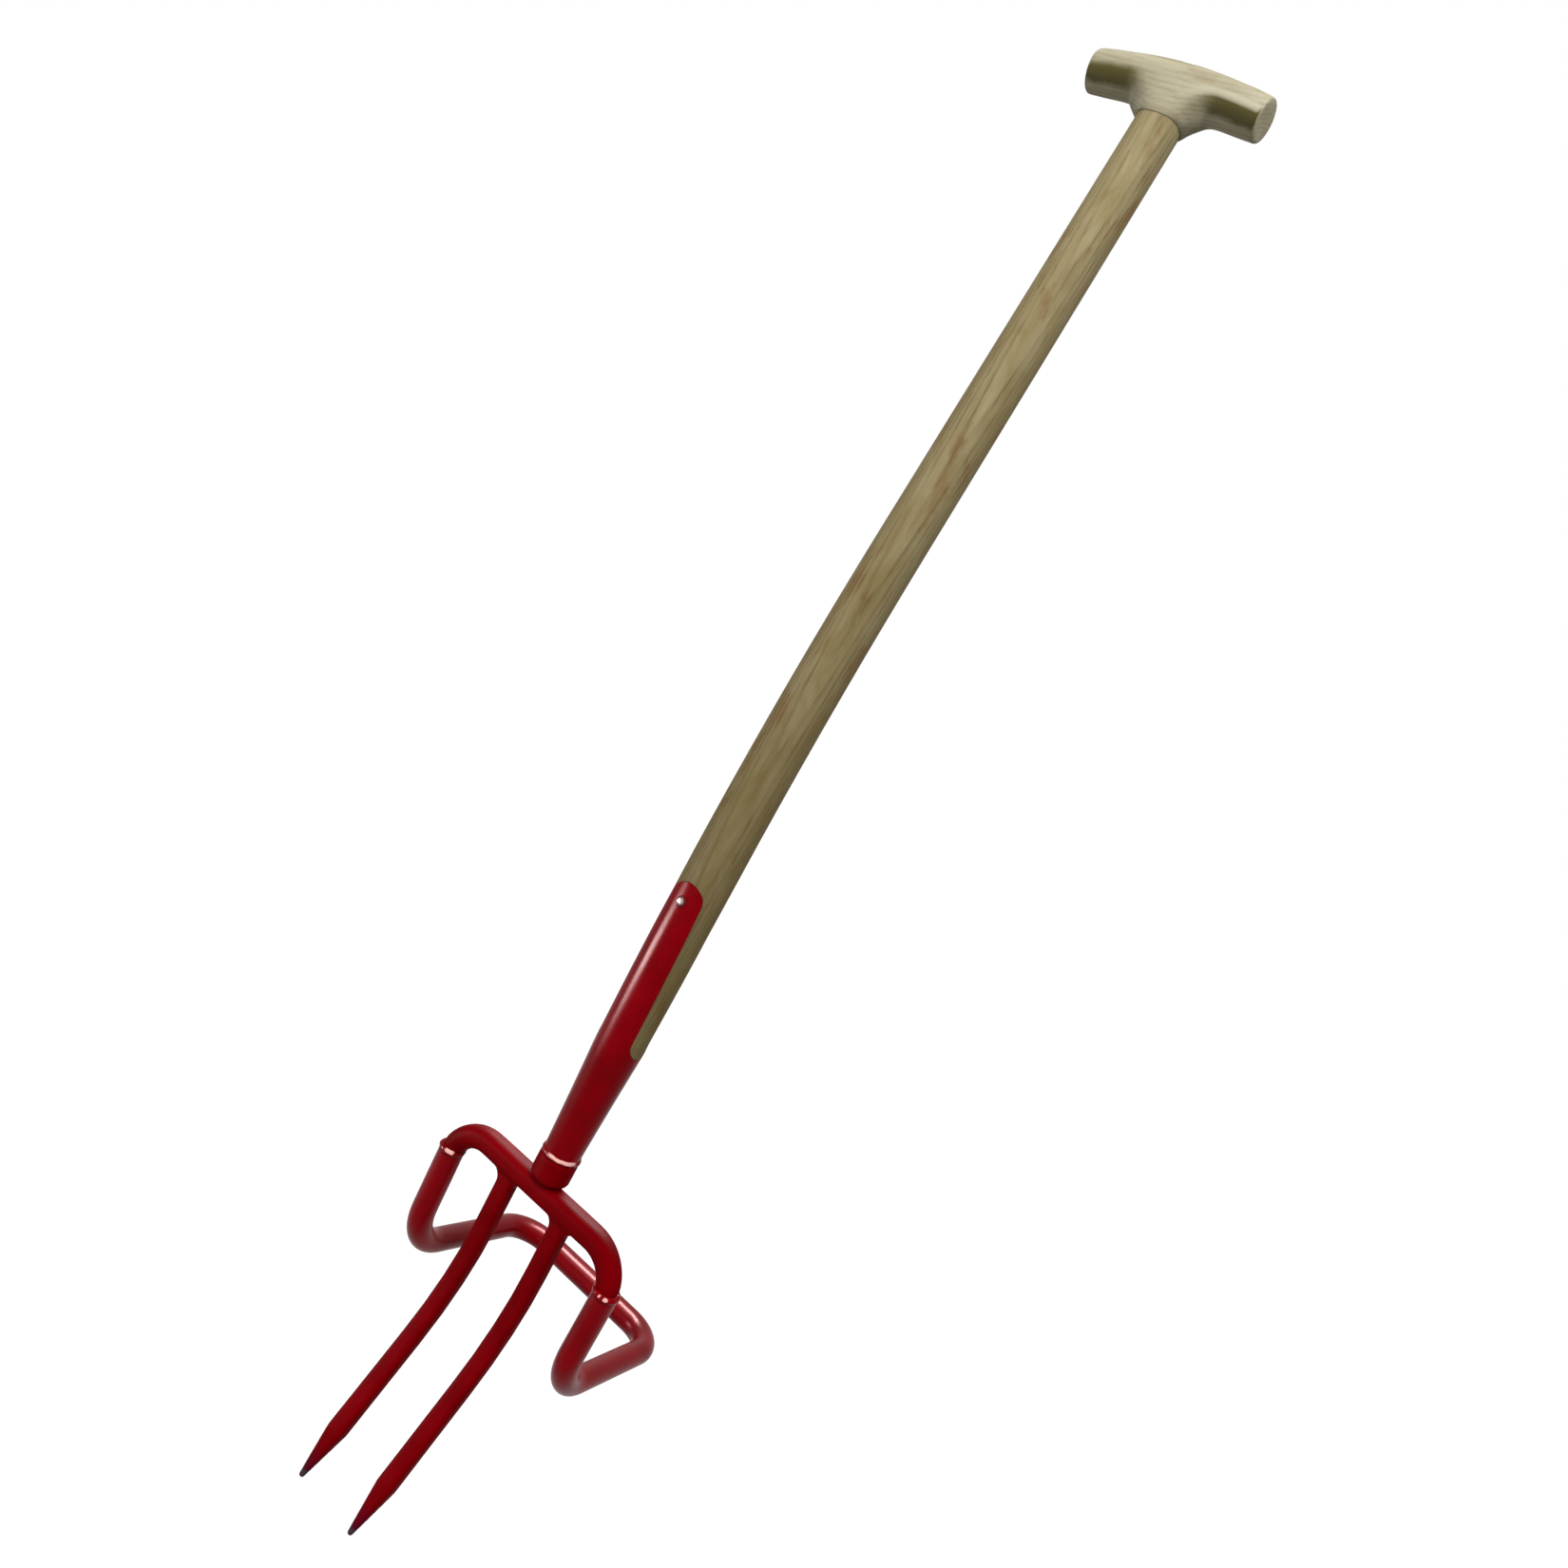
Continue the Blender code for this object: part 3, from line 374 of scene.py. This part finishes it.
# The socket is steel sheet rolled into a cone and split above into a front and a back strap.
# The straps are sunk into the ash, and the whole head is dipped in crimson gloss paint.
def gloss_paint(name, colour, deep, shine, rough=(0.20, 0.28), worn_points=False):
    """Thick stoved gloss with faint orange peel: slow changes of depth, worn points if asked."""
    material, tree, shader = start_material(name)
    place = place_on(tree)
    depth = noise(tree, place, 34.0, 3.0, 0.55)
    speck = noise(tree, place, 420.0, 2.0, 0.6)
    paint = tint(tree, ramp(tree, depth, (0.32, 0.0), (0.70, 1.0)), deep, colour)
    paint = tint(tree, ramp(tree, speck, (0.55, 0.0), (0.80, 0.25)), paint, deep)
    sheen = ramp(tree, depth, (0.30, rough[0]), (0.75, rough[1]))
    if worn_points:
        # The stain deepens over 22 mm, and the bare steel begins within 2 mm.
        stained_below, bare_below = -1.0720, -1.0900
        _, _, up = parted(tree, place)
        ragged = reckon(tree, "MULTIPLY", noise(tree, place, 260.0, 3.0, 0.6), 0.008)
        height = reckon(tree, "ADD", up, ragged)
        past = reckon(tree, "SUBTRACT", stained_below, height)
        stain = ramp(tree, reckon(tree, "MULTIPLY", past, 45.0), (0.0, 0.0), (1.0, 0.85))
        paint = tint(tree, stain, paint, on_screen(66, 14, 38))
        past = reckon(tree, "SUBTRACT", bare_below, height)
        bare = ramp(tree, reckon(tree, "MULTIPLY", past, 500.0), (0.0, 0.0), (1.0, 1.0))
        scratch = noise(tree, mapped(tree, place, (1.0, 1.0, 0.08)), 900.0, 3.0, 0.6)
        steel = tint(tree, scratch, on_screen(52, 36, 44), on_screen(92, 72, 80))
        paint = tint(tree, bare, paint, steel)
        sheen = tint(tree, bare, sheen, (0.45, 0.45, 0.45, 1.0))
    tree.links.new(paint, shader.inputs["Base Color"])
    tree.links.new(sheen, shader.inputs["Roughness"])
    shader.inputs["Specular IOR Level"].default_value = shine
    shader.inputs["Specular Tint"].default_value = (1.0, 0.50, 0.50, 1.0)
    orange_peel = noise(tree, place, 150.0, 1.0, 0.4)
    bumped(tree, shader, orange_peel, strength=0.02, distance=0.0003)
    return material


head_tones = on_screen(146, 0, 14), on_screen(126, 0, 9)
head_paint = gloss_paint("crimson gloss paint", *head_tones, shine=0.05)

socket = workpiece_from("socket", "strapped_socket")
pick_only(socket)
rounded = socket.modifiers.new("paint-rounded edges", "BEVEL")
rounded.limit_method = "ANGLE"
rounded.angle_limit = math.radians(40)
rounded.width = 0.00035
rounded.segments = 2
bpy.ops.object.modifier_apply(modifier=rounded.name)
bpy.ops.object.shade_smooth_by_angle(angle=math.radians(30))
put_on(socket, head_paint, "socket")


# One steel rivet goes through both straps and the wood. Its domed heads were painted with the
# straps, and the paint has worn off their crowns down to the steel.
worn_rivet, tree, shader = start_material("peened steel under worn paint")
place = place_on(tree)
dent = noise(tree, place, 900.0, 3.0, 0.6)
outwards = faces(tree, (0.0, -math.cos(head_lean), -math.sin(head_lean)))
crown = reckon(tree, "ABSOLUTE", outwards)
crown = reckon(tree, "ADD", crown, reckon(tree, "MULTIPLY", dent, 0.16))
bare = ramp(tree, reckon(tree, "SUBTRACT", crown, 0.50), (0.48, 0.0), (0.56, 1.0))
steel = tint(tree, dent, on_screen(120, 104, 98), on_screen(190, 180, 174))
tree.links.new(tint(tree, bare, on_screen(86, 2, 8), steel), shader.inputs["Base Color"])
tree.links.new(reckon(tree, "MULTIPLY", bare, 0.75), shader.inputs["Metallic"])
tree.links.new(ramp(tree, dent, (0.35, 0.26), (0.70, 0.42)), shader.inputs["Roughness"])
shader.inputs["Specular IOR Level"].default_value = 0.3
bumped(tree, shader, dent, strength=0.20, distance=0.0002)
rivet = workpiece_from("strap_rivet", "peened_rivet")
put_on(rivet, worn_rivet, "strap_rivet")


# The fork is one forging: the crossbar with its bent shoulders, two square-cornered tines drawn
# to points, and the round collar that the socket sits on. Blends are soft, points worn bare.
fork_paint = gloss_paint(
    "crimson paint, worn at the points",
    on_screen(138, 0, 10),
    on_screen(118, 0, 6),
    shine=0.012,
    rough=(0.50, 0.58),
    worn_points=True,
)

fork = workpiece_from("fork", "forged_fork")
pick_only(fork)
remesh = fork.modifiers.new("forging skin", "REMESH")
remesh.mode = "VOXEL"
remesh.voxel_size = 0.0008
bpy.ops.object.modifier_apply(modifier=remesh.name)
soften = fork.modifiers.new("soft forged edges", "SMOOTH")
soften.factor = 0.5
soften.iterations = 16
bpy.ops.object.modifier_apply(modifier=soften.name)
bpy.ops.object.shade_smooth()
put_on(fork, fork_paint, "fork")


# A bead of weld closes the joint between the collar and the socket. It was run round in one
# pass, so it is a lumpy ring. Its front carries a painted highlight: a pale patch in the paint's
# colour on the bead's crown.
def away_from(tree, place, point):
    node = tree.nodes.new("ShaderNodeVectorMath")
    node.operation = "DISTANCE"
    tree.links.new(place, node.inputs[0])
    node.inputs[1].default_value = point
    return node.outputs["Value"]


def bead_paint_with_painted_highlight(name, axis, spots):
    """Gloss paint with a painted highlight: pale on the bead's crown round each spot, a point and
    its reach.
    """
    material = gloss_paint(name, on_screen(144, 0, 12), on_screen(120, 0, 8), shine=0.06)
    tree = material.node_tree
    shader = tree.nodes["Principled BSDF"]
    paint = shader.inputs["Base Color"].links[0].from_socket
    place = place_on(tree)
    crown = ramp(tree, faces(tree, axis), (0.02, 0.0), (0.12, 1.0), (0.82, 1.0), (0.93, 0.0))
    ragged = reckon(tree, "MULTIPLY", noise(tree, place, 300.0, 2.0, 0.5), 0.003)
    for point, reach in spots:
        away = reckon(tree, "ADD", away_from(tree, place, point), ragged)
        away = reckon(tree, "DIVIDE", away, 2.0 * reach)
        # The pale colour mixed in here is a painted highlight on the bead's crown.
        highlight_share = reckon(tree, "MULTIPLY", crown, ramp(tree, away, (0.46, 1.0), (0.58, 0.0)))
        paint = tint(tree, highlight_share, paint, on_screen(255, 196, 186))
    tree.links.new(paint, shader.inputs["Base Color"])
    return material


puddles = bpy.data.textures.new("weld puddles", "CLOUDS")
puddles.noise_scale = 0.0035
puddles.noise_depth = 1


def weld_bead(name, centre, axis, around, thick):
    """A ring of weld round a bar: a torus, roughened where each puddle of metal set."""
    bpy.ops.object.select_all(action="DESELECT")
    bpy.ops.mesh.primitive_torus_add(
        major_segments=120,
        minor_segments=20,
        major_radius=around,
        minor_radius=thick,
        location=centre,
        rotation=axis.to_track_quat("Z", "Y").to_euler(),
    )
    bead = bpy.context.object
    bead.name = bead.data.name = name
    bpy.ops.object.transform_apply(location=True, rotation=True, scale=True)
    rough = bead.modifiers.new("set puddles", "DISPLACE")
    rough.texture = puddles
    rough.texture_coords = "LOCAL"
    rough.strength = 0.0008
    rough.mid_level = 0.5
    bpy.ops.object.modifier_apply(modifier=rough.name)
    bpy.ops.object.shade_smooth()
    return bead


def middle_of(box):
    low, high = (Vector(corner) for corner in box)
    return (low + high) / 2


neck = middle_of(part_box("neck_weld"))
head_axis = Vector((0.0, -math.sin(head_lean), math.cos(head_lean)))
neck_bead = weld_bead("neck_bead", neck, head_axis, around=0.0117, thick=0.0032)
# Painted highlight: one pale spot on the front of the neck bead.
neck_highlight_spots = [(neck + Vector((0.0092, -0.0117, 0.0)), 0.0118)]
neck_paint = bead_paint_with_painted_highlight("crimson gloss paint with a painted highlight on the neck", head_axis, neck_highlight_spots)
put_on(neck_bead, neck_paint, "neck_weld")


# The lever loop is one length of 19 mm round bar, bent down, back and across in a U, and
# butt-welded under the shoulders of the fork.
bar_radius = 0.0095
leg_bend, back_bend = 0.0428, 0.0296
down_left_leg = Vector((0.0022, 0.01814, -0.112)).normalized()
left_end = middle_of(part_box("loop_weld_left")) + down_left_leg * 0.0025
foot_of_left_leg = Vector((-0.0789, 0.0655646, -0.9556719))
back_of_left_side = Vector((-0.0774, 0.2190646, -0.9556719))


def bent_path(corners, radii):
    """The corners joined by straight lines, with each inner corner bent to its radius."""
    longest_step = 0.004
    bend_steps = 24
    points = [corners[0]]

    def straight_to(end):
        start = points[-1]
        steps = math.ceil((end - start).length / longest_step)
        points.extend(start.lerp(end, step / steps) for step in range(1, steps + 1))

    for before, corner, after, radius in zip(corners, corners[1:], corners[2:], radii):
        come, leave = (corner - before).normalized(), (after - corner).normalized()
        turn = come.angle(leave)
        middle = corner + (leave - come).normalized() * radius / math.cos(turn / 2)
        across, along = (corner - middle).normalized(), (come + leave).normalized()
        angles = [turn * (step / bend_steps - 0.5) for step in range(bend_steps + 1)]
        arc = [middle + radius * (math.cos(a) * across + math.sin(a) * along) for a in angles]
        straight_to(arc[0])
        points.extend(arc[1:])
    straight_to(corners[-1])
    return points


left_half = [left_end, foot_of_left_leg, back_of_left_side]
right_half = [Vector((-point.x, point.y, point.z)) for point in reversed(left_half)]
path = bent_path(left_half + right_half, (leg_bend, back_bend, back_bend, leg_bend))

bpy.ops.object.select_all(action="DESELECT")
bpy.ops.curve.primitive_bezier_curve_add(location=(0, 0, 0))
lever_loop = bpy.context.object
lever_loop.name = "bent_lever_loop"
bar = lever_loop.data
bar.splines.clear()
line = bar.splines.new("POLY")
line.points.add(len(path) - 1)
for point, spot in zip(line.points, path):
    point.co = (*spot, 1.0)
bar.dimensions = "3D"
bar.bevel_depth = bar_radius
bar.bevel_resolution = 22
bar.use_fill_caps = True
bpy.ops.object.convert(target="MESH")
bpy.ops.object.mode_set(mode="EDIT")
bpy.ops.mesh.select_all(action="SELECT")
bpy.ops.mesh.remove_doubles(threshold=1e-6)
bpy.ops.mesh.normals_make_consistent(inside=False)
bpy.ops.object.mode_set(mode="OBJECT")
bpy.ops.object.shade_smooth_by_angle(angle=math.radians(40))
loop_paint = gloss_paint(
    "crimson gloss paint of the loop", *head_tones, shine=0.09, rough=(0.30, 0.36)
)
put_on(lever_loop, loop_paint, "lever_loop")


# Each end of the loop is joined to its shoulder by a weld run all round, painted over. The
# legs of the loop lean back and a little inwards, and the two beads lean with them. Each bead
# carries one or two painted highlights: pale spots in the paint's colour on its crown.
# Painted highlights on the loop beads: offsets and reach of each pale spot.
highlight_spots = {
    "left": [(0.0042, -0.0092, 0.0046)],
    "right": [(0.0052, -0.0088, 0.0030), (0.0005, -0.0102, 0.0024)],
}
for side, outwards in (("left", -1), ("right", 1)):
    up_leg = Vector((outwards * down_left_leg.x, -down_left_leg.y, -down_left_leg.z))
    middle = middle_of(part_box("loop_weld_" + side))
    bead = weld_bead("loop_bead_" + side, middle, up_leg, around=0.0074, thick=0.0029)
    spots = [(middle + Vector((right, back, 0.0)), reach) for right, back, reach in highlight_spots[side]]
    bead_paint = bead_paint_with_painted_highlight("crimson gloss paint rubbed, " + side, up_leg, spots)
    put_on(bead, bead_paint, "loop_weld_" + side)


# The tool stands on its points on a plain studio floor. The floor glows white to the camera and
# in the gloss, a little less under the lamps close to the tool, and lights nothing else.
def seen_directly(tree):
    """1 for what the camera sees, also in gloss and through glass, and 0 for other light."""
    path = tree.nodes.new("ShaderNodeLightPath")
    seen = reckon(tree, "MAXIMUM", path.outputs["Is Camera Ray"], path.outputs["Is Glossy Ray"])
    return reckon(tree, "MAXIMUM", seen, path.outputs["Is Transmission Ray"])


floor_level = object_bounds()[0][2] - 0.0002
bpy.ops.object.select_all(action="DESELECT")
bpy.ops.mesh.primitive_plane_add(size=40, location=(0, 0, floor_level))
floor = bpy.context.object
floor.name = "studio_floor"
floor_white, tree, shader = start_material("studio floor")
tree.nodes.remove(shader)
away = reckon(tree, "MULTIPLY", away_from(tree, place_on(tree), (0.0, 0.0, 0.0)), 0.25)
glow = tree.nodes.new("ShaderNodeEmission")
tree.links.new(ramp(tree, away, (0.05, 0.88), (0.60, 1.0)), glow.inputs["Strength"])
unlit = tree.nodes.new("ShaderNodeEmission")
unlit.inputs["Strength"].default_value = 0.0
pick = tree.nodes.new("ShaderNodeMixShader")
tree.links.new(seen_directly(tree), pick.inputs[0])
tree.links.new(unlit.outputs[0], pick.inputs[1])
tree.links.new(glow.outputs[0], pick.inputs[2])
diffuse = tree.nodes.new("ShaderNodeBsdfDiffuse")
diffuse.inputs["Color"].default_value = (0.26, 0.26, 0.26, 1.0)
both = tree.nodes.new("ShaderNodeAddShader")
tree.links.new(diffuse.outputs[0], both.inputs[0])
tree.links.new(pick.outputs[0], both.inputs[1])
tree.links.new(both.outputs[0], tree.nodes["Material Output"].inputs["Surface"])
floor.data.materials.append(floor_white)


# A white backdrop stands all round. The camera and the gloss see it white, and everything else
# gets only a low even light from it.
around_light = 0.17
world = bpy.data.worlds.new("white studio")
scene.world = world
world.use_nodes = True
tree = world.node_tree
tree.nodes.clear()
extra_white = reckon(tree, "MULTIPLY", seen_directly(tree), 1.0 - around_light)
backdrop = tree.nodes.new("ShaderNodeBackground")
backdrop.inputs["Color"].default_value = (1.0, 1.0, 1.0, 1.0)
tree.links.new(reckon(tree, "ADD", extra_white, around_light), backdrop.inputs["Strength"])
output = tree.nodes.new("ShaderNodeOutputWorld")
tree.links.new(backdrop.outputs[0], output.inputs[0])


# Six soft boxes: a key in front on the left, and three fills that the gloss doesn't see, high on
# the right, low in front, and behind. Two more show only in the gloss: a strip low on the left,
# for the shine along the front strap, and a small bar above the back of the loop.
def soft_box(name, place, aim, width, height, watts):
    bpy.ops.object.select_all(action="DESELECT")
    bpy.ops.object.light_add(type="AREA", location=place)
    lamp = bpy.context.object
    lamp.name = name
    lamp.data.shape = "RECTANGLE"
    lamp.data.size = width
    lamp.data.size_y = height
    lamp.data.energy = watts
    lamp.rotation_euler = (Vector(aim) - Vector(place)).to_track_quat("-Z", "Y").to_euler()
    return lamp


soft_box("key_front_left", (-0.62, -1.05, 0.78), (0.0, 0.02, -0.40), 0.60, 0.60, 11.5)
high = soft_box("fill_high_right", (0.85, -1.05, 0.95), (0.0, 0.03, -0.45), 0.90, 0.90, 26.0)
low = soft_box("fill_low_front", (0.05, -1.35, -0.95), (0.0, 0.0, -0.10), 0.90, 0.60, 7.0)
strip = soft_box("strip_low_left", (-0.64, -0.47, -1.015), (0.0, 0.03, -0.72), 0.32, 0.14, 20.0)
over_loop = soft_box("bar_above", (-0.084, 0.202, -0.624), (0.03, 0.219, -0.955), 0.05, 0.26, 8.5)
behind = soft_box("fill_behind", (-0.70, 1.70, 0.30), (0.0, 0.05, -0.60), 1.60, 1.60, 12.0)
over_loop.data.spread = math.radians(120)
for fill in (high, low, behind):
    fill.visible_glossy = False
for shine_lamp in (strip, over_loop):
    shine_lamp.visible_diffuse = False
    shine_lamp.visible_camera = False


# The camera stands in front of the tool and to its right, level with the middle of the shaft,
# and is rolled so that the tool lies across the picture.
bpy.ops.object.select_all(action="DESELECT")
bpy.ops.object.camera_add(location=(0.3733901, -0.75091902, -0.46526121))
camera = bpy.context.object
camera.rotation_mode = "QUATERNION"
camera.rotation_quaternion = Quaternion((0.6375827, 0.6875521, -0.0376194, 0.3454636))
camera.data.sensor_width = 36.0
camera.data.lens = 29.3612
camera.data.clip_start = 0.01
camera.data.dof.use_dof = False
scene.camera = camera
scene.view_settings.view_transform = "Standard"
